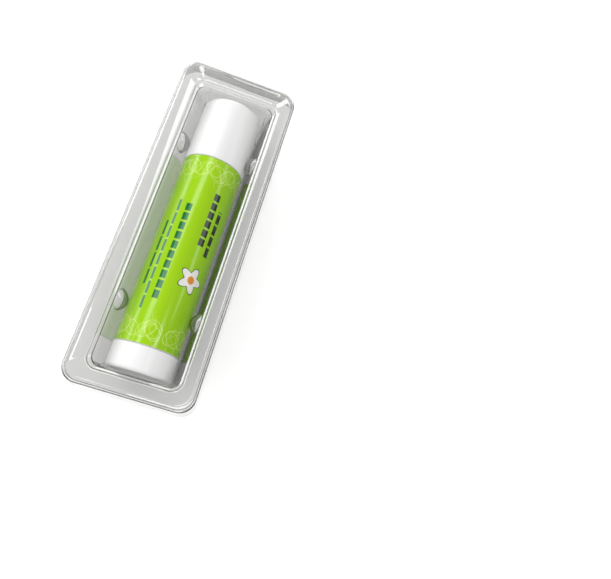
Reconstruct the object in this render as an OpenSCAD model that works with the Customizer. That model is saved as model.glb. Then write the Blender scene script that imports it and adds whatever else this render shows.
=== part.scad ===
// Clear thermoformed tray for one lip balm, with the balm clipped into it.
// Millimetres, +Z up, +Y along the balm towards its capped end.
// The origin is at the centre of the flat strip under the trough, on which the tray stands.

/* [Tray] */
// Width of the opening, where the sloping band turns down into the trough
open_w = 22.7; // [22.2:0.1:24]
// Length of the opening
open_l = 80.2; // [79.2:0.1:90]
// Corner radius of the opening
open_r = 2.8; // [2.6:0.1:4]
// Overall height, from the flat strip under the trough to the rim's top
tray_h = 17.2; // [17:0.1:19]
// Thickness of the clear sheet
sheet_t = 0.4; // [0.3:0.05:0.5]
// Distance from the opening out to the rim's outer edge
rim_reach = 3.7; // [3.4:0.05:5]
// How far the band falls from the rim to the opening
band_drop = 1.6; // [1.2:0.1:2]
// Radius along the rim's outer edge
rim_r = 0.6; // [0.55:0.05:0.8]
// Radius along the rim's inner edge
lip_r = 0.8; // [0.6:0.05:1]
// Width of the level strip on top of the rim, between its two rounded edges
rim_flat = 0.3; // [0.2:0.05:0.6]
// Radius of the shoulder, where the band turns down into the trough's wall
shoulder_r = 1.5; // [1:0.1:1.6]
// How far the outer skirt hangs below the rim's top
skirt_drop = 6; // [4:0.1:8]
// Flare of the skirt from upright, in degrees
skirt_flare = 8; // [4:0.5:12]

/* [Trough] */
// How far the walls close in from the shoulder to the foot
wall_inset = 2.3; // [1.8:0.1:2.5]
// How far the two end walls close in from the shoulder to the foot
end_inset = 0.5; // [0.4:0.1:0.8]
// Width of the flat strip along the bottom
strip_w = 5; // [4:0.1:6]
// Radius between the end walls and the bottom
foot_r = 1; // [0.8:0.1:1.5]
// Distance of each pair of retaining bumps from the middle
bump_y = 22.4; // [16:0.1:28]
// Height of the bumps' centres above the ground
bump_z = 11.6; // [11.4:0.1:12]
// Radius of a bump's ball
bump_r = 2.9; // [2.6:0.1:3]
// How far a bump stands out of the wall
bump_reach = 1.8; // [1.6:0.1:1.8]

/* [Balm] */
// Diameter of the balm
balm_d = 16; // [15:0.1:16]
// Length of the closed balm
balm_l = 75; // [70:0.5:75]
// How far the balm lies off the tray's middle, towards its wheel
balm_shift = 0.4; // [0:0.1:0.5]
// Length of the cap
cap_l = 18; // [17:0.5:20]
// Length of the twist wheel at the base
wheel_l = 6.2; // [5:0.1:8]
// Thickness of the printed label film
label_t = 0.1; // [0.05:0.01:0.2]
// Radius round the closed end of the cap
cap_edge_r = 1.4; // [0.8:0.1:2]
// Radius round the free end of the twist wheel
wheel_edge_r = 0.8; // [0.7:0.1:1.2]
// Wall of the cap
cap_wall = 0.8; // [0.6:0.05:0.9]
// Bore radius of the barrel
bore_r = 6; // [5.6:0.1:6]
// Length of the barrel's neck inside the cap
neck_l = 8; // [6:0.5:10]
// Radius of the twist wheel's screw
screw_r = 2.1; // [1.8:0.1:2.4]
// Height of the carrier that holds the stick
carrier_h = 12; // [8:0.5:14]
// Gap between pieces that slide or turn in one another
play = 0.15; // [0.1:0.01:0.2]

/* [Hidden] */

// Slope of the band, whose straight part the two bends shorten a little
BEND_ALLOWANCE = 0.1;
band_run = rim_reach - rim_r - rim_flat;
band_a = atan((band_drop - BEND_ALLOWANCE) / (band_run + BEND_ALLOWANCE));
// Direction in which the shoulder's bend ends, as an angle up from outwards
WALL_A = 174;
// Centres of the three rounded bends, as [distance out from the opening, height]
rim_c = [rim_reach - rim_r, tray_h - rim_r];
lip_c = [rim_reach - rim_r - rim_flat, tray_h - lip_r];
shoulder_s = shoulder_r * sin(band_a);
shoulder_c = [shoulder_s,
              lip_c[1] + (lip_r - shoulder_r + (shoulder_s - lip_c[0]) * sin(band_a)) / cos(band_a)];
// Half width of the strip and of the trough's foot, and the radius that joins them
FLANK_SPAN = 0.99;
strip_half = strip_w / 2;
wall_top_s = shoulder_c[0] + shoulder_r * cos(WALL_A);
foot_s = wall_top_s - wall_inset;
foot_half = open_w / 2 + foot_s;
trough_r = (foot_half - strip_half) / FLANK_SPAN;
wall_h = shoulder_c[1] + shoulder_r * sin(WALL_A) - sheet_t;
skirt_l = (rim_c[1] + rim_r * sin(skirt_flare) - (tray_h - skirt_drop)) / cos(skirt_flare);
// Corner radius grows slowly from the trough to the skirt
CORNER_GROWTH = 0.25;
MIN_CORNER_R = 0.5;
// Steps round a corner, across a bump in bump radii, and across an end in half widths
CORNER_STEPS = 5;
BUMP_STEPS = [-1, -0.75, -0.4, 0, 0.4, 0.75, 1];
END_STEPS = [0.85, 0.65, 0.4, 0.15, -0.15, -0.4, -0.65, -0.85];
// A step on the wall below the bumps, in bump radii, and the least gap to the ends of the wall
BELOW_BUMP = 1.6;
WALL_TOP_GAP = 0.01;
WALL_FOOT_GAP = 0.02;
// Steps of the bends and of the flank of the trough
RIM_STEPS = 3;
LIP_STEPS = 2;
SHOULDER_STEPS = 3;
FLANK_STEPS = 4;
FOOT_STEP_A = 30;
bump_foot = sqrt(bump_r * bump_r - pow(bump_r - bump_reach, 2));
side_ys = concat([for (b = BUMP_STEPS) -bump_y + b * bump_foot],
                 [0],
                 [for (b = BUMP_STEPS) bump_y + b * bump_foot]);

// One column of points: [share of the half width, share of the half length, fixed y, angle]
function reversed(v) = [for (i = [len(v) - 1 : -1 : 0]) v[i]];
function corner(sx, sy, a0) =
    [for (i = [0 : CORNER_STEPS]) [sx, sy, 0, a0 + 90 * i / CORNER_STEPS]];
COLUMNS = concat(
    [for (y = side_ys) [1, 0, y, 0]],
    corner(1, 1, 0),
    [for (f = END_STEPS) [f, 1, 0, 90]],
    corner(-1, 1, 90),
    [for (y = reversed(side_ys)) [-1, 0, y, 180]],
    corner(-1, -1, 180),
    [for (f = reversed(END_STEPS)) [f, -1, 0, 270]],
    corner(1, -1, 270));
N = len(COLUMNS);
SIDE_N = len(side_ys);
HALF_N = N / 2;

// Triangles that close a flat ring: strips from side to side, and a fan over each rounded end
function cap_faces() = concat(
    [for (i = [0 : SIDE_N - 2]) let (a = i, b = i + 1, c = HALF_N + SIDE_N - 2 - i, d = c + 1)
        each [[a, b, c], [a, c, d]]],
    [for (i = [SIDE_N : HALF_N - 1]) [SIDE_N - 1, i, i + 1]],
    [for (i = [HALF_N + SIDE_N : N - 1]) [HALF_N + SIDE_N - 1, i, (i + 1) % N]]);

// Plan position of column c on the rounded rectangle that lies sx and sy outside the opening
function corner_r(s) = max(open_r + CORNER_GROWTH * s, MIN_CORNER_R);
function plan(c, sx, sy) =
    let (r = corner_r(sx), ax = open_w / 2 + sx - r, ay = open_l / 2 + sy - r)
    [c[0] * ax + r * cos(c[3]), c[1] * ay + c[2] + r * sin(c[3])];

// Height of the trough's floor at x: a flat strip with a round flank on each side
function floor_z(x, k) =
    let (r = trough_r + k * sheet_t, e = min(max(abs(x) - strip_half, 0), r))
    sheet_t * (1 - k) + r - sqrt(r * r - e * e);

// Inward reach of the retaining bumps at a point of a side wall
function bump_at(c, z, k) =
    c[1] != 0 ? 0 :
    let (r = bump_r - k * sheet_t,
         d2 = pow(abs(c[2]) - bump_y, 2) + pow(z - bump_z, 2))
    max(sqrt(max(r * r - d2, 0)) - (bump_r - bump_reach - k * sheet_t), 0);

// A ring is [distance out from the opening at the sides, height, share of the way down to the floor,
// distance out from the opening at the ends]
function bend(centre, r, a0, a1, steps) =
    [for (i = [0 : steps]) let (a = a0 + (a1 - a0) * i / steps, s = centre[0] + r * cos(a))
        [s, centre[1] + r * sin(a), 0, s]];
WALL_STEPS = concat(BUMP_STEPS, [BELOW_BUMP]);
side_wall_h = wall_h + sheet_t - floor_z(foot_half, 0);
bump_w = (wall_h + sheet_t - bump_z) / side_wall_h;

// All rings of one face of the sheet: k = 0 the upper face, k = 1 the under face
function face_rings(k) =
    let (t = k * sheet_t,
         skirt_top = [rim_c[0] + (rim_r - t) * cos(skirt_flare), rim_c[1] + (rim_r - t) * sin(skirt_flare)],
         wall_top = [shoulder_c[0] + (shoulder_r - t) * cos(WALL_A),
                     shoulder_c[1] + (shoulder_r - t) * sin(WALL_A)],
         foot = foot_s + t,
         end_foot = wall_top[0] - end_inset,
         fillet = foot_r + t,
         fillet_w = fillet / wall_h,
         floor_half = open_w / 2 + foot - fillet,
         floor_a = asin((floor_half - strip_half) / (trough_r + t)))
    concat(
        let (s = skirt_top[0] + skirt_l * sin(skirt_flare))
            [[s, skirt_top[1] - skirt_l * cos(skirt_flare), 0, s]],
        bend(rim_c, rim_r - t, skirt_flare, 90, RIM_STEPS),
        bend(lip_c, lip_r - t, 90, 90 + band_a, LIP_STEPS),
        bend(shoulder_c, shoulder_r - t, 90 + band_a, WALL_A, SHOULDER_STEPS),
        [for (b = WALL_STEPS) let (w = bump_w + b * bump_foot / side_wall_h)
            if (w > WALL_TOP_GAP && w < 1 - fillet_w - WALL_FOOT_GAP)
                [wall_top[0] - wall_inset * w, wall_top[1], w, wall_top[0] - end_inset * w]],
        [for (a = [0 : FOOT_STEP_A : 90])
            [foot - fillet * (1 - cos(a)), wall_top[1], 1 - fillet_w * (1 - sin(a)),
             end_foot - fillet * (1 - cos(a))]],
        [for (i = [1 : FLANK_STEPS])
            let (a = floor_a * (1 - i / FLANK_STEPS), s = strip_half + (trough_r + t) * sin(a) - open_w / 2)
            [s, wall_top[1], 1, s + end_foot - foot]]);

function ring_points(ring, k) =
    [for (c = COLUMNS)
        let (p = plan(c, ring[0], ring[3]),
             z = ring[1] * (1 - ring[2]) + floor_z(p[0], k) * ring[2],
             b = ring[2] > 0 ? bump_at(c, z, k) : 0)
        [p[0] - c[0] * b, p[1], z]];

module tray() {
    rings = concat([for (r = reversed(face_rings(0))) ring_points(r, 0)],
                   [for (r = face_rings(1)) ring_points(r, 1)]);
    m = len(rings);
    points = [for (r = rings) for (p = r) p];
    faces = concat(
        [for (f = cap_faces()) reversed(f)],
        [for (j = [0 : m - 2]) for (i = [0 : N - 1])
            let (a = j * N + i, b = j * N + (i + 1) % N, c = b + N, d = a + N) each [[a, b, c], [a, c, d]]],
        [for (f = cap_faces()) [for (i = f) (m - 1) * N + i]]);
    color([0.86, 0.87, 0.86, 0.35]) polyhedron(points, faces, convexity = 10);
}

// The balm's axis runs along Y through the tray; its pieces are drawn upright from the wheel's end
AXIS_Z = sheet_t + balm_d / 2;
CAP_TOP_T = 1.2;
LABEL_MARGIN = 0.1;
WHEEL_GAP = 0.1;
// Gap under the cap's mouth, and the bevel at the neck's top
STEP_GAP = 0.2;
NECK_BEVEL = 0.3;
// Inside: the wheel's spigot, the carrier above it, and the stick that stands in the carrier's cup
SPIGOT_L = 3;
CARRIER_LIFT = 1;
CARRIER_FLOOR_T = 1.2;
STICK_CUP_WALL = 0.7;
STICK_DROP = 0.5;
STICK_EDGE_R = 1.5;
SCREW_DROP = 16;
HOLE_DEPTH = 1;
// Steps of a turned edge, and of a full turn
EDGE_STEPS = 4;
CIRCLE_N = 72;
outer_r = balm_d / 2;
cap_y = balm_l - cap_l;
neck_r = outer_r - cap_wall - play;
spigot_top = wheel_l + SPIGOT_L;
carrier_y = spigot_top + CARRIER_LIFT;
carrier_r = bore_r - play;
stick_y = carrier_y + CARRIER_FLOOR_T;
neck_top = cap_y + neck_l;
stick_top = neck_top - STICK_DROP;
screw_top = stick_top - SCREW_DROP;

module along_tray() {
    translate([0, -balm_l / 2 - balm_shift, AXIS_Z]) rotate([-90, 0, 0])
        rotate_extrude($fn = CIRCLE_N) children();
}

// A quarter circle as profile points, from angle a0 to a1 round (x, y)
function arc(x, y, r, a0, a1) =
    [for (i = [0 : EDGE_STEPS]) let (a = a0 + (a1 - a0) * i / EDGE_STEPS)
        [x + r * cos(a), y + r * sin(a)]];

module balm_cap() {
    inner_r = outer_r - cap_wall;
    color([0.96, 0.96, 0.95]) along_tray()
        polygon(concat(
            [[inner_r, cap_y], [outer_r, cap_y]],
            arc(outer_r - cap_edge_r, balm_l - cap_edge_r, cap_edge_r, 0, 90),
            [[0, balm_l], [0, balm_l - CAP_TOP_T], [inner_r, balm_l - CAP_TOP_T]]));
}

module balm_barrel() {
    barrel_r = outer_r - label_t;
    bottom = wheel_l + WHEEL_GAP;
    step_y = cap_y - STEP_GAP;
    color([0.95, 0.95, 0.94]) along_tray()
        polygon([[bore_r, bottom], [barrel_r, bottom], [barrel_r, step_y], [neck_r, step_y],
                 [neck_r, neck_top - NECK_BEVEL], [neck_r - NECK_BEVEL, neck_top], [bore_r, neck_top]]);
}

module balm_label() {
    bottom = wheel_l + WHEEL_GAP + LABEL_MARGIN;
    color([0.55, 0.78, 0.05]) along_tray()
        polygon([[outer_r - label_t, bottom], [outer_r, bottom],
                 [outer_r, cap_y - LABEL_MARGIN], [outer_r - label_t, cap_y - LABEL_MARGIN]]);
}

module balm_wheel() {
    spigot_r = bore_r - play;
    color([0.96, 0.96, 0.95]) along_tray()
        polygon(concat(
            [[0, 0]],
            arc(outer_r - wheel_edge_r, wheel_edge_r, wheel_edge_r, -90, 0),
            [[outer_r, wheel_l], [spigot_r, wheel_l], [spigot_r, spigot_top],
             [screw_r, spigot_top], [screw_r, screw_top], [0, screw_top]]));
}

module balm_carrier() {
    hole_r = screw_r + play;
    top = carrier_y + carrier_h;
    color([0.93, 0.93, 0.9]) along_tray()
        polygon([[hole_r, carrier_y], [carrier_r, carrier_y], [carrier_r, top],
                 [carrier_r - STICK_CUP_WALL, top], [carrier_r - STICK_CUP_WALL, stick_y],
                 [hole_r, stick_y]]);
}

module balm_stick() {
    cup_r = carrier_r - STICK_CUP_WALL;
    cup_top = carrier_y + carrier_h;
    hole_r = screw_r + play;
    hole_top = screw_top + HOLE_DEPTH;
    color([0.97, 0.93, 0.8]) along_tray()
        polygon(concat(
            [[hole_r, stick_y], [cup_r, stick_y], [cup_r, cup_top], [carrier_r, cup_top]],
            arc(carrier_r - STICK_EDGE_R, stick_top - STICK_EDGE_R, STICK_EDGE_R, 0, 90),
            [[0, stick_top], [0, hole_top], [hole_r, hole_top]]));
}

tray();
balm_cap();
balm_barrel();
balm_label();
balm_wheel();
balm_carrier();
balm_stick();
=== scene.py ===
# %% [markdown]
# # A clear blister tray with a lip balm in it
#
# The CAD part gives the frame: every real piece at its real size. This script dresses it. Lengths are in
# metres, +Z is up out of the tray and +Y runs along the balm towards its cap.
#
# Each piece is built the way its surface comes about. The tray is one clear sheet, so it is drawn as two
# skins of a grid, each a stack of rounded rectangles. The balm's pieces are turned, so they are profiles
# swept round one axis.

# %% Frame and helpers
import math
import bpy
import numpy as np
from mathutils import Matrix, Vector


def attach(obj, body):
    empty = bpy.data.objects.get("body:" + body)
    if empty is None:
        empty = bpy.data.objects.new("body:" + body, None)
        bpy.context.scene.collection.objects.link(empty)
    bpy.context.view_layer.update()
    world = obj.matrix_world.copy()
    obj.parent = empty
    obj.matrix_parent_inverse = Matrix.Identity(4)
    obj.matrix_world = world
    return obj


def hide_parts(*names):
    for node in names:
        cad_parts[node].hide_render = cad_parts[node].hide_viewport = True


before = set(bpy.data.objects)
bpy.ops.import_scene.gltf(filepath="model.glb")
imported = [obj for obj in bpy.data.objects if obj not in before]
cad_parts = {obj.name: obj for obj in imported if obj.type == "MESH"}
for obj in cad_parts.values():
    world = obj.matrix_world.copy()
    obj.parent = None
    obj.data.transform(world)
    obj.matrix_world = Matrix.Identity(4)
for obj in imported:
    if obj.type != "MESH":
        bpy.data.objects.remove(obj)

MM = 0.001


def save_size():
    """Bring the view layer up to date."""
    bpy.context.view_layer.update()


save_size()
print("CAD nodes:", ", ".join(sorted(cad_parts)))

# %% [markdown]
# ## The camera
#
# The camera looks down on the tray from the near right, as in the photograph. Its place, its turn and its
# focal length were found by fitting the tray's rims and the balm's edges to the picture.

# %% Camera
CAMERA_AT = (16.67 * MM, -49.06 * MM, 149.06 * MM)
CAMERA_TURN = (15.033, -11.200, 15.832)
CAMERA_LENS = 33.36

camera_data = bpy.data.cameras.new("camera")
camera_data.lens = CAMERA_LENS
camera_data.sensor_width = 36.0
camera_data.clip_start = 0.01
camera = bpy.data.objects.new("camera", camera_data)
camera.location = CAMERA_AT
camera.rotation_euler = [math.radians(a) for a in CAMERA_TURN]
bpy.context.collection.objects.link(camera)
bpy.context.scene.camera = camera
print("camera at", CAMERA_AT)

# %% [markdown]
# ## Meshes from grids
#
# A grid of points becomes a mesh of four-sided faces. The grid can close round its columns, and its first
# and last rows can be capped by one face each.

# %% Mesh helpers


def grid_faces(rows, cols, wrap_rows=False):
    """Faces between neighbouring points of a grid whose columns close into a ring."""
    i = np.arange(rows if wrap_rows else rows - 1)[:, None]
    j = np.arange(cols)[None, :]
    down, right = (i + 1) % rows, (j + 1) % cols
    quads = np.stack([i * cols + j, down * cols + j, down * cols + right, i * cols + right], -1)
    return quads.reshape(-1, 4)


def make_mesh(name, points, quads, caps=(), sharp=35):
    """A smooth object from points in metres, four-sided faces, and extra faces of any size."""
    mesh = bpy.data.meshes.new(name)
    mesh.from_pydata(points.tolist(), [], quads.tolist() + [list(c) for c in caps])
    mesh.update()
    mesh.shade_smooth()
    mesh.set_sharp_from_angle(angle=math.radians(sharp))
    obj = bpy.data.objects.new(name, mesh)
    bpy.context.collection.objects.link(obj)
    print(f"{name}: {len(points)} points, {len(mesh.polygons)} faces")
    return obj


# %% [markdown]
# ## Shader maths
#
# `Sock` wraps one value of a material's node tree, so a pattern can be written as plain arithmetic.

# %% Shader class


class Sock:
    """One value in a node tree. Arithmetic on it adds the maths nodes that compute the result."""

    def __init__(self, tree, out):
        self.tree, self.out = tree, out

    def math(self, op, *others):
        """This value and the others through one maths node."""
        made = node(self.tree, "ShaderNodeMath", operation=op)
        for socket, value in zip(made.inputs, (self,) + others):
            put(self.tree, socket, value)
        return Sock(self.tree, made.outputs[0])

    def __add__(self, other): return self.math("ADD", other)
    def __sub__(self, other): return self.math("SUBTRACT", other)
    def __mul__(self, other): return self.math("MULTIPLY", other)
    __radd__, __rmul__ = __add__, __mul__

    def __rsub__(self, other):
        return (self * -1.0) + other

    def abs(self): return self.math("ABSOLUTE")
    def sin(self): return self.math("SINE")
    def max(self, other): return self.math("MAXIMUM", other)
    def min(self, other): return self.math("MINIMUM", other)

    def step(self, start, end):
        """0 below start, 1 above end, and a smooth rise between them."""
        ramp = node(self.tree, "ShaderNodeMapRange", {"Value": self, "From Min": start, "From Max": end},
                    interpolation_type="SMOOTHSTEP")
        return Sock(self.tree, ramp.outputs[0])

    def line(self, width, soft):
        """1 where this value is within half the width of zero, fading over soft."""
        return 1.0 - self.abs().step(width / 2 - soft / 2, width / 2 + soft / 2)


def put(tree, socket, value):
    """Link a Sock or an output to a socket, or set the socket's own value."""
    if isinstance(value, Sock):
        tree.links.new(value.out, socket)
    elif isinstance(value, bpy.types.NodeSocket):
        tree.links.new(value, socket)
    else:
        socket.default_value = value


def node(tree, kind, inputs=None, **settings):
    """Any other node: its settings first, then its inputs by name."""
    made = tree.nodes.new(kind)
    for key, value in settings.items():
        setattr(made, key, value)
    for key, value in (inputs or {}).items():
        put(tree, made.inputs[key], value)
    return made


def new_material(name):
    """An empty material: its tree and its output node."""
    material = bpy.data.materials.new(name)
    material.use_nodes = True
    tree = material.node_tree
    tree.nodes.clear()
    return material, tree, node(tree, "ShaderNodeOutputMaterial")


def object_xyz(tree):
    """The three object coordinates in millimetres, as Socks."""
    coords = node(tree, "ShaderNodeTexCoord")
    split = node(tree, "ShaderNodeSeparateXYZ", {"Vector": coords.outputs["Object"]})
    return [Sock(tree, o) * 1000.0 for o in split.outputs]


def mix_colour(tree, factor, a, b):
    """Colour a where the factor is 0 and b where it is 1."""
    mix = node(tree, "ShaderNodeMix", data_type="RGBA")
    put(tree, mix.inputs[0], factor)
    put(tree, mix.inputs[6], a)
    put(tree, mix.inputs[7], b)
    return mix.outputs[2]


# %% [markdown]
# ## Materials
#
# The clear sheet refracts and mirrors as plastic does, with a glossy coat. Light from the lamps passes
# through it without a caustic, so its shadow stays light, as that of thin film is. The sheet is greyer low
# down in the trough: painted shade, which stands in for the shadow round the balm.

# %% Materials


# Painted shade in the trough: full below DEEP_Z, fading out up to CLEAR_Z.
DEEP_Z, CLEAR_Z = 11.5, 15.5
SHADOW_PASS = (0.72, 0.72, 0.72, 1)


def clear_plastic(name, tint, deep, roughness):
    """Refracting plastic that lets the lamps' light through, with painted shade: a darker tint below DEEP_Z.
    """
    material, tree, out = new_material(name)
    _, _, z = object_xyz(tree)
    glass = node(tree, "ShaderNodeBsdfPrincipled", {
        # Painted shade: below DEEP_Z the sheet takes the darker colour.
        "Base Color": mix_colour(tree, z.step(DEEP_Z, CLEAR_Z), deep, tint),
        "Roughness": roughness, "IOR": 1.48, "Transmission Weight": 1.0,
        "Coat Weight": 1.0, "Coat Roughness": roughness, "Coat IOR": 1.7})
    path = node(tree, "ShaderNodeLightPath")
    through = node(tree, "ShaderNodeBsdfTransparent", {"Color": SHADOW_PASS})
    mix = node(tree, "ShaderNodeMixShader")
    put(tree, mix.inputs[0], path.outputs["Is Shadow Ray"])
    put(tree, mix.inputs[1], glass.outputs[0])
    put(tree, mix.inputs[2], through.outputs[0])
    put(tree, out.inputs["Surface"], mix.outputs[0])
    return material


def moulded_plastic(name, colour, roughness, mottle=0.02):
    """Opaque plastic whose colour and gloss wander a little, as moulded pieces do."""
    material, tree, out = new_material(name)
    coords = node(tree, "ShaderNodeTexCoord")
    noise = node(tree, "ShaderNodeTexNoise", {
        "Vector": coords.outputs["Object"], "Scale": 900.0, "Detail": 3.0})
    wander = Sock(tree, noise.outputs["Fac"]) - 0.5
    dark = tuple(c * (1 - mottle) for c in colour[:3]) + (1,)
    body = node(tree, "ShaderNodeBsdfPrincipled", {
        "Base Color": mix_colour(tree, wander + 0.5, dark, colour),
        "Roughness": wander * 0.08 + roughness, "IOR": 1.5})
    put(tree, out.inputs["Surface"], body.outputs[0])
    return material


# The second colour is painted shade for the low part of the trough.
sheet_plastic = clear_plastic("clear_sheet", (0.66, 0.66, 0.65, 1), (0.5, 0.5, 0.49, 1), 0.03)
white_plastic = moulded_plastic("white_plastic", (0.93, 0.93, 0.925, 1), 0.3)
carrier_plastic = moulded_plastic("carrier_plastic", (0.8, 0.8, 0.76, 1), 0.5)
balm_wax = moulded_plastic("balm_wax", (0.86, 0.78, 0.55, 1), 0.55, 0.06)
print("materials:", ", ".join(m.name for m in bpy.data.materials))

# %% [markdown]
# ## The tray's form
#
# Seen from the side, the sheet runs up the outer skirt, over the narrow rim, down the sloping band, round
# the shoulder, down the trough's wall and across its rounded floor. Each bend is an arc. Every point of
# that path carries a rounded rectangle, and the stack of rectangles is the skin.
#
# The rim has a small step and the shoulder a small ledge. They break each bend's reflection into a pair
# of bright lines with a dark one between them. The band bows a little, so that it mirrors a lamp along one
# edge.
#
# Distances marked `s` are measured outwards from the edge of the opening.

# %% Tray sizes, in millimetres and degrees
OPEN_W, OPEN_L, OPEN_R = 22.7, 80.2, 2.8
TRAY_H, SHEET_T, RIM_T = 17.2, 0.4, 0.25
RIM_REACH, BAND_DROP = 3.7, 1.6
RIM_R, LIP_R, RIM_FLAT = 0.6, 0.8, 0.3
SHOULDER_R, SKIRT_DROP, SKIRT_LEAN = 1.5, 6.0, 5.8
WALL_INSET, END_INSET, STRIP_W, FOOT_R = 2.3, 0.5, 5.0, 1.0
BUMP_Y, BUMP_Z, BUMP_R, BUMP_REACH = 22.4, 11.6, 2.9, 1.8
BUMP_MARGIN = 0.3
WALL_A, CORNER_GROWTH, SMALLEST_R = 174.0, 0.25, 0.5
STEP_S, BAND_BOW, BAND_TRIM = 0.15, 6.0, 0.1
FLANK_SINE = 0.99
RIM_STEPS = [("arc", 0.4, 150, 8), ("line", 0.15, 2), ("arc", 0.25, 108, 6), ("line", 0.1, 2),
             ("arc", 0.4, 180, 10)]
SHOULDER_STEPS = [("arc", 1.1, 258, 12), ("line", 0.1, 2), ("arc", 0.35, 214, 8), ("line", 0.45, 2),
                  ("arc", 0.5, 90 + WALL_A, 10)]
FINE = 1.0


def degrees_arc(centre, radius, start, end, steps):
    """Points on an arc: the centre plus the radius times cosine and sine of each angle."""
    a = np.radians(np.linspace(start, end, steps))
    return np.stack([centre[0] + radius * np.cos(a), centre[1] + radius * np.sin(a)], 1)


RIM_TOP_S = RIM_REACH - RIM_R
LIP_C = (RIM_TOP_S - RIM_FLAT, TRAY_H - LIP_R)
BAND_SLOPE = math.atan((BAND_DROP - BAND_TRIM) / (LIP_C[0] + BAND_TRIM))
SHOULDER_S = SHOULDER_R * math.sin(BAND_SLOPE)
SHOULDER_C = (SHOULDER_S,
              LIP_C[1] + (LIP_R - SHOULDER_R + (SHOULDER_S - LIP_C[0]) * math.sin(BAND_SLOPE))
              / math.cos(BAND_SLOPE))
WALL_TOP_S = SHOULDER_C[0] + SHOULDER_R * math.cos(math.radians(WALL_A))
FOOT_S = WALL_TOP_S - WALL_INSET
TROUGH_R = (OPEN_W / 2 + FOOT_S - STRIP_W / 2) / FLANK_SINE
WALL_H = SHOULDER_C[1] + SHOULDER_R * math.sin(math.radians(WALL_A)) - SHEET_T
print(f"band slope {math.degrees(BAND_SLOPE):.1f} degrees, trough radius {TROUGH_R:.1f} mm")


def floor_height(x, under):
    """Height of the trough's floor: a flat strip with a round flank on each side."""
    radius = TROUGH_R + under * SHEET_T
    out = np.clip(np.abs(x) - STRIP_W / 2, 0, radius)
    return SHEET_T * (1 - under) + radius - np.sqrt(radius ** 2 - out ** 2)


def bent_strip(start, heading, steps, under):
    """Points along a bent strip, shifted by under to the strip's far side.

    A step is ("line", length, count) or ("arc", radius, new heading, count). An arc's points are its
    centre plus or minus the radius along the strip's normal, which stands a quarter turn to the right of
    the heading.
    """
    place, points = np.array(start, float), []
    normal = lambda a: np.stack([np.cos(np.radians(a - 90)), np.sin(np.radians(a - 90))], -1)
    for kind, size, *rest in steps:
        count = max(2, int(rest[-1] * FINE))
        share = np.linspace(0, 1, count + 1)[:, None]
        if kind == "line":
            way = np.array([math.cos(math.radians(heading)), math.sin(math.radians(heading))])
            angle = np.full(count + 1, float(heading))
            path = place + size * share * way
        else:
            angle = np.linspace(heading, rest[0], count + 1)
            side = 1 if rest[0] > heading else -1
            path = place + side * size * (normal(angle) - normal(heading))
            heading = rest[0]
        points.append((path - under * normal(angle))[1 if points else 0:])
        place = path[-1]
    return np.concatenate(points)


def path_rows(under):
    """Rows of one skin: outward distance at the sides, height, share of the way down, and at the ends.

    The skirt's top is the rim's top less the run of the rim's steps. Its foot lies the skirt's length below
    that, along the leaning skirt.
    """
    t = under * SHEET_T
    n = lambda count: max(3, int(count * FINE))
    upward, lean = 90 + SKIRT_LEAN, math.radians(SKIRT_LEAN)
    band_a = 180 + math.degrees(BAND_SLOPE)
    skirt_top = np.array([RIM_TOP_S, TRAY_H]) - bent_strip((0, 0), upward, RIM_STEPS, 0)[-1]
    skirt_l = (skirt_top[1] - (TRAY_H - SKIRT_DROP)) / math.cos(lean)
    skirt_foot = skirt_top + skirt_l * np.array([math.sin(lean), -math.cos(lean)])
    rim = [("line", skirt_l, 8)] + RIM_STEPS
    rim += [("line", RIM_FLAT, 2), ("arc", LIP_R, band_a - BAND_BOW / 2, 8)]
    lip_end = bent_strip(skirt_foot, upward, rim, 0)[-1]
    band_l = (lip_end[0] - STEP_S) / math.cos(BAND_SLOPE)
    band = [("arc", band_l / math.radians(BAND_BOW), band_a + BAND_BOW / 2, 12)]
    flat = bent_strip(skirt_foot, upward, rim + band + SHOULDER_STEPS, under * RIM_T)
    rows = [np.stack([flat[:, 0], flat[:, 1], 0 * flat[:, 0], flat[:, 0]], 1)]
    top_s, top_z = flat[-1]
    fillet = FOOT_R + t
    fillet_w = fillet / WALL_H
    w = np.linspace(0, 1 - fillet_w, n(64))[1:]
    inset = top_s - FOOT_S - t
    rows.append(np.stack([top_s - inset * w, top_z + 0 * w, w, top_s - END_INSET * w], 1))
    a = np.radians(np.linspace(0, 90, n(10))[1:])
    s = FOOT_S + t - fillet * (1 - np.cos(a))
    end = top_s - END_INSET - fillet * (1 - np.cos(a))
    rows.append(np.stack([s, top_z + 0 * a, 1 - fillet_w * (1 - np.sin(a)), end], 1))
    last = OPEN_W / 2 + FOOT_S + t - fillet
    spread = math.asin((last - STRIP_W / 2) / (TROUGH_R + t))
    a = np.linspace(spread, 0, n(14))[1:]
    s = STRIP_W / 2 + (TROUGH_R + t) * np.sin(a) - OPEN_W / 2
    rows.append(np.stack([s, top_z + 0 * a, 1 + 0 * a, s + top_s - END_INSET - (FOOT_S + t)], 1))
    return np.concatenate(rows)


# %% [markdown]
# The columns go once round the rectangle. They are close together where the retaining bumps push into
# the wall and at the corners, and wide apart on the straight stretches.

# %% Tray columns


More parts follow.
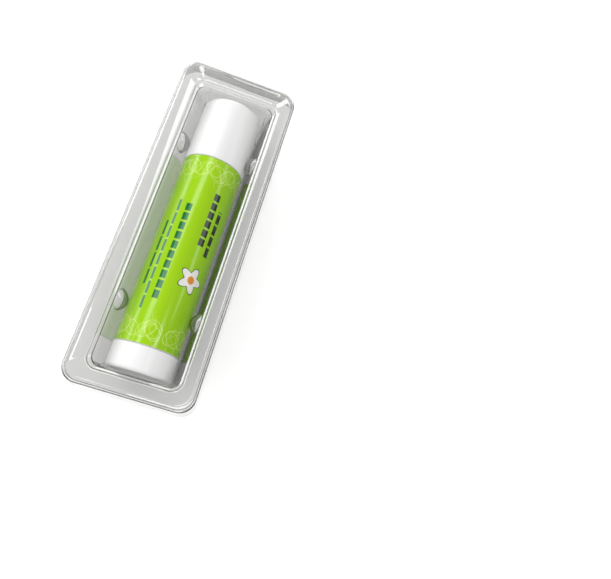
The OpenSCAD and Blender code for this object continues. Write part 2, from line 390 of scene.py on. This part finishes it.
def ring_columns():
    """Columns as share of half width, share of half length, fixed y and corner angle in degrees."""
    n = lambda count: max(4, int(count * FINE))
    near_bump = np.linspace(-BUMP_R, BUMP_R, n(44))
    beside = BUMP_Y - BUMP_R - BUMP_MARGIN
    between = np.linspace(-beside, beside, n(18))
    side = np.concatenate([near_bump - BUMP_Y, between, near_bump + BUMP_Y])
    cross = np.linspace(0.97, -0.97, n(22))
    turn = np.linspace(0, 90, n(22))

    def column(x, y, fixed, angle):
        return np.stack(np.broadcast_arrays(np.float64(x), np.float64(y), fixed, angle), 1)

    parts = [column(1, 0, side, 0.0), column(1, 1, 0.0, turn),
             column(cross, 1, 0.0, 90.0), column(-1, 1, 0.0, turn + 90),
             column(-1, 0, side[::-1], 180.0), column(-1, -1, 0.0, turn + 180),
             column(-cross, -1, 0.0, 270.0), column(1, -1, 0.0, turn + 270)]
    return np.concatenate(parts)


def skin(rows, columns, under):
    """All points of one skin, in millimetres: rows by columns by xyz.

    A bump is a ball that stands BUMP_REACH out of the wall: it pushes the wall in by the root of
    ball^2 - distance^2, less how deep the ball's middle lies behind the wall.
    """
    s, z0, w, end = [rows[:, i][:, None] for i in range(4)]
    fx, fy, fixed, angle = [columns[:, i][None, :] for i in range(4)]
    a = np.radians(angle)
    radius = np.maximum(OPEN_R + CORNER_GROWTH * s, SMALLEST_R)
    x = fx * (OPEN_W / 2 + s - radius) + radius * np.cos(a)
    y = fy * (OPEN_L / 2 + end - radius) + fixed + radius * np.sin(a)
    z = z0 * (1 - w) + floor_height(x, under) * w
    ball = BUMP_R - under * SHEET_T
    square = (np.abs(y) - BUMP_Y) ** 2 + (z - BUMP_Z) ** 2
    push = np.sqrt(np.maximum(ball ** 2 - square, 0)) - (BUMP_R - BUMP_REACH - under * SHEET_T)
    push = np.where((fy == 0) & (w > 0), np.maximum(push, 0), 0)
    return np.stack([x - fx * push, y, z], -1)


# %% Tray mesh
columns = ring_columns()
upper = skin(path_rows(0), columns, 0)[::-1]
lower = skin(path_rows(1), columns, 1)
tray_points = np.concatenate([upper, lower]) * MM
rows_n, cols_n = tray_points.shape[:2]
last_row = (rows_n - 1) * cols_n
tray = make_mesh("tray_sheet", tray_points.reshape(-1, 3), grid_faces(rows_n, cols_n),
                 caps=[range(cols_n), range(last_row + cols_n - 1, last_row - 1, -1)], sharp=40)
tray.data.materials.append(sheet_plastic)
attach(tray, "root")
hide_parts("tray")

# %% [markdown]
# ## The balm
#
# Each piece of the balm is a profile turned round the balm's axis. `u` runs along the axis from the
# wheel's end, and `r` is the distance from the axis.

# %% Balm sizes, in millimetres
BALM_R, BALM_L, CAP_L, WHEEL_L, LABEL_T = 8.0, 75.0, 18.0, 6.2, 0.1
BALM_SHIFT, CAP_EDGE_R, CAP_MOUTH_R, WHEEL_EDGE_R = 0.4, 1.4, 0.22, 0.8
CAP_U = BALM_L - CAP_L
AXIS_Z = SHEET_T + BALM_R
BASE_Y = -BALM_L / 2 - BALM_SHIFT
AROUND = 160


def turned(name, profile, material, slot, *nodes, sharp=35):
    """A closed solid from a profile of (r, u) points. Points on the axis become the end faces."""
    profile = np.array(profile, float)
    a = np.linspace(0, 2 * np.pi, AROUND, endpoint=False)[None, :]
    r, u = profile[:, 0][:, None], profile[:, 1][:, None]
    points = np.stack([r * np.cos(a), BASE_Y + u + 0 * a, AXIS_Z + r * np.sin(a)], -1) * MM
    rows = len(profile)
    closed = bool(np.allclose(profile[0], profile[-1]))
    if closed:
        points, rows = points[:-1], rows - 1
    quads = grid_faces(rows, AROUND, wrap_rows=closed)
    end = (rows - 1) * AROUND
    caps = [] if closed else [range(AROUND), range(end + AROUND - 1, end - 1, -1)]
    obj = make_mesh(name, points.reshape(-1, 3), quads, caps, sharp)
    obj.data.materials.append(material)
    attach(obj, "root")
    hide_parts(*nodes)
    return obj


def fillet(r, u, radius, start, end, steps=8):
    """A rounded edge as profile points."""
    return degrees_arc((r, u), radius, start, end, steps).tolist()


def signed_volume(obj):
    """Volume by the sum of each triangle's box product over six: negative if the faces point inwards."""
    obj.data.calc_loop_triangles()
    tris = np.zeros(len(obj.data.loop_triangles) * 3, np.int32)
    obj.data.loop_triangles.foreach_get("vertices", tris)
    co = np.zeros(len(obj.data.vertices) * 3)
    obj.data.vertices.foreach_get("co", co)
    a, b, c = co.reshape(-1, 3)[tris.reshape(-1, 3)].transpose(1, 0, 2)
    return float(np.einsum("ij,ij->i", a, np.cross(b, c)).sum() / 6)


# %% Cap, barrel and wheel
cap_inside = [(4.0, BALM_L), (0.4, BALM_L), (0.4, BALM_L - 1.2), (7.0, BALM_L - 1.2),
              (7.2, BALM_L - 1.4), (7.2, CAP_U + 0.1)]
balm_cap = turned(
    "cap", [(7.3, CAP_U), (7.78, CAP_U)]
    + fillet(BALM_R - CAP_MOUTH_R, CAP_U + CAP_MOUTH_R, CAP_MOUTH_R, -80, 0, 5)
    + [(BALM_R, CAP_U + 6), (BALM_R, CAP_U + 11)]
    + fillet(BALM_R - CAP_EDGE_R, BALM_L - CAP_EDGE_R, CAP_EDGE_R, 0, 90)
    + cap_inside + [(7.3, CAP_U)], white_plastic, "white_plastic", "balm_cap")

BARREL_R, NECK_R, BORE_R = BALM_R - LABEL_T, 7.05, 6.0
BARREL_U, STEP_U, NECK_U = WHEEL_L + 0.1, CAP_U - 0.2, CAP_U + 8.0
balm_barrel = turned(
    "barrel", [(BORE_R, BARREL_U), (BARREL_R - 0.15, BARREL_U), (BARREL_R, BARREL_U + 0.15)]
    + [(BARREL_R, STEP_U - 0.15), (BARREL_R - 0.15, STEP_U), (NECK_R, STEP_U), (NECK_R, NECK_U - 0.3)]
    + [(NECK_R - 0.3, NECK_U), (BORE_R, NECK_U), (BORE_R, BARREL_U)],
    white_plastic, "white_plastic", "balm_barrel")

SPIGOT_U, SCREW_U, SCREW_R = WHEEL_L + 3.0, CAP_U - 8.5, 2.1
balm_wheel = turned(
    "wheel", [(0.01, 0.45), (6.3, 0.45), (6.6, 0.0)]
    + fillet(BALM_R - WHEEL_EDGE_R, WHEEL_EDGE_R, WHEEL_EDGE_R, -90, 0)
    + [(BALM_R, WHEEL_L - 0.15), (BALM_R - 0.15, WHEEL_L), (5.85, WHEEL_L), (5.85, SPIGOT_U)]
    + [(SCREW_R, SPIGOT_U), (SCREW_R, SCREW_U), (0.01, SCREW_U)],
    white_plastic, "white_plastic", "balm_wheel")

# %% Label
LABEL_0, LABEL_1 = WHEEL_L + 0.2, CAP_U - 0.3
FLOWER_TURN, FLOWER_U, PETALS, PETAL_R, HEART_R = 5.2, 24.5, 5, 2.5, 1.0


def label_art():
    """A printed film: lime green, paler along the top as painted light, pale loops at both ends, plain
    dashes for words, and a small flower.

    The flower's edge lies at PETAL_R plus three quarters of the sine of PETALS times the angle round it.
    """
    material, tree, out = new_material("label_film")
    x, y, z = object_xyz(tree)
    u = y - BASE_Y
    turn = x.math("ARCTAN2", z - AXIS_Z) * BALM_R
    # Painted light: the green is lighter along the top of the balm and darker down its sides.
    middle = 1.0 - (turn.abs() * 0.1).min(1.0)
    green = mix_colour(tree, middle, (0.26, 0.55, 0.002, 1), (0.37, 0.68, 0.004, 1))
    curls = []
    for k, (pitch, lean, lift) in enumerate(((5.2, 0.35, 0.9), (6.6, -0.45, 1.4), (8.3, 0.15, 2.1))):
        cell = (turn + u * lean + 40.0 + k * 1.7).math("MODULO", pitch) - pitch / 2
        edge = (u - LABEL_0).min(LABEL_1 - u)
        rise = edge - (2.6 + lift * 0.6)
        ring = (cell * cell + rise * rise).math("SQRT") - (1.6 + 0.25 * lift)
        curls.append(ring.line(0.16, 0.16))
        stem = cell - (edge * 1.3 + k).sin() * 0.8
        curls.append(stem.line(0.13, 0.16) * (1.0 - edge.step(5.2 + k, 6.4 + k)))
    drawing = curls[0]
    for curl in curls[1:]:
        drawing = drawing.max(curl)
    art = mix_colour(tree, drawing * 0.6, green, (0.80, 0.92, 0.30, 1))

    def bar(at, wide, start, end, period):
        """A row of plain dashes along the balm, from start to end."""
        row = (turn - at).line(wide, 0.12) * u.step(start, start + 0.1) * (1.0 - u.step(end, end + 0.1))
        dash = (u - start).math("MODULO", period)
        return row * dash.step(0.35, 0.5) * (1.0 - dash.step(period - 0.2, period - 0.05))

    left = bar(-1.6, 1.5, 17, 43, 2.6).max(bar(-4.2, 0.7, 14, 44, 3.7)).max(bar(-5.9, 0.7, 20, 38, 4.4))
    right = bar(4.4, 1.6, 33, 48, 2.5).max(bar(6.8, 1.2, 31, 44, 3.1))
    art = mix_colour(tree, left, art, (0.004, 0.17, 0.03, 1))
    art = mix_colour(tree, right, art, (0.012, 0.03, 0.012, 1))
    across, along = turn - FLOWER_TURN, u - FLOWER_U
    radius = (across * across + along * along).math("SQRT")
    outside = radius - ((across.math("ARCTAN2", along) * float(PETALS)).sin() * 0.75 + PETAL_R)
    art = mix_colour(tree, 1.0 - outside.step(0.25, 0.4), art, (0.01, 0.06, 0.01, 1))
    art = mix_colour(tree, 1.0 - outside.step(0.0, 0.15), art, (0.86, 0.86, 0.8, 1))
    art = mix_colour(tree, 1.0 - radius.step(HEART_R - 0.2, HEART_R + 0.2), art, (0.75, 0.27, 0.02, 1))
    gloss = node(tree, "ShaderNodeBsdfPrincipled", {"Base Color": art, "Roughness": 0.13, "IOR": 1.5})
    put(tree, out.inputs["Surface"], gloss.outputs[0])
    return material


label_film = label_art()
balm_label = turned(
    "label",
    [(BARREL_R, LABEL_0), (BALM_R, LABEL_0), (BALM_R, LABEL_1), (BARREL_R, LABEL_1), (BARREL_R, LABEL_0)],
    label_film, "label_film", "balm_label")
for name, material in (("balm_carrier", carrier_plastic), ("balm_stick", balm_wax)):
    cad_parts[name].data.materials.clear()
    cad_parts[name].data.materials.append(material)
for obj in (tray, balm_cap, balm_barrel, balm_wheel, balm_label):
    print(f"{obj.name}: {signed_volume(obj) * 1e9:.0f} mm3")

# %% [markdown]
# ## Stage and light
#
# A pale floor under soft lamp panels that stand on a dome. Each bend of the clear sheet mirrors a low panel
# on the other side of the tray, which gives the bright lines. The dim dome between the panels gives the dark
# ones. The higher panels keep the balm evenly white.

# %% Stage and lamps
FLOOR_GLOW, WORLD_STRENGTH, FLOOR_HALF = 0.25, 0.3, 2
LAMPS = (  # name, azimuth, elevation, wide, high, radiance
    ("left", -50, 62, 36, 14, 3.6),
    ("left low", -72, 15, 90, 24, 3.0),
    ("far low", -6, 14, 70, 22, 2.4),
    ("near", 185, 42, 50, 24, 2.4),
    ("right", 58, 34, 34, 12, 2.2),
    ("right high", 100, 62, 26, 12, 4.0),
    ("top", 180, 84, 14, 12, 3.0),
)
LAMP_FAR, LAMP_AIM_Z = 0.8, 0.012


def panel(name, azimuth, elevation, wide, high, radiance):
    """A soft lamp panel on a dome round the tray: angles from +Y towards +X and up, sizes in degrees."""
    a, e = math.radians(azimuth), math.radians(elevation)
    way = Vector((math.sin(a) * math.cos(e), math.cos(a) * math.cos(e), math.sin(e)))
    data = bpy.data.lights.new(name, "AREA")
    data.shape = "RECTANGLE"
    data.size = 2 * LAMP_FAR * math.tan(math.radians(wide / 2))
    data.size_y = 2 * LAMP_FAR * math.tan(math.radians(high / 2))
    data.energy = radiance * math.pi * data.size * data.size_y
    lamp = bpy.data.objects.new(name, data)
    lamp.location = way * LAMP_FAR + Vector((0, 0, LAMP_AIM_Z))
    lamp.rotation_euler = way.to_track_quat("Z", "Y").to_euler()
    bpy.context.collection.objects.link(lamp)
    print(f"{name}: azimuth {azimuth}, elevation {elevation}, {data.energy:.2f} W")


def pale_floor():
    """A floor that shows as near white to the camera and through clear plastic, and keeps its shadow."""
    material, tree, out = new_material("floor")
    body = node(tree, "ShaderNodeBsdfDiffuse", {"Color": (0.93, 0.93, 0.925, 1)})
    path = node(tree, "ShaderNodeLightPath")
    seen = Sock(tree, path.outputs["Is Camera Ray"]).max(Sock(tree, path.outputs["Is Glossy Ray"]))
    seen = seen.max(Sock(tree, path.outputs["Is Transmission Ray"]))
    glow = node(tree, "ShaderNodeEmission", {"Color": (1, 1, 1, 1), "Strength": seen * FLOOR_GLOW})
    both = node(tree, "ShaderNodeAddShader")
    put(tree, both.inputs[0], body.outputs[0])
    put(tree, both.inputs[1], glow.outputs[0])
    put(tree, out.inputs["Surface"], both.outputs[0])
    points = FLOOR_HALF * np.array([[-1, -1, 0], [1, -1, 0], [1, 1, 0], [-1, 1, 0]], float)
    obj = make_mesh("floor", points, np.array([[0, 1, 2, 3]]))
    obj.data.materials.append(material)
    return obj


floor = pale_floor()
world = bpy.data.worlds.new("studio")
world.use_nodes = True
world.node_tree.nodes["Background"].inputs[0].default_value = (1.0, 1.0, 1.0, 1)
world.node_tree.nodes["Background"].inputs[1].default_value = WORLD_STRENGTH
bpy.context.scene.world = world
for lamp in LAMPS:
    panel(*lamp)
bpy.context.scene.view_settings.view_transform = "Standard"

save_size()
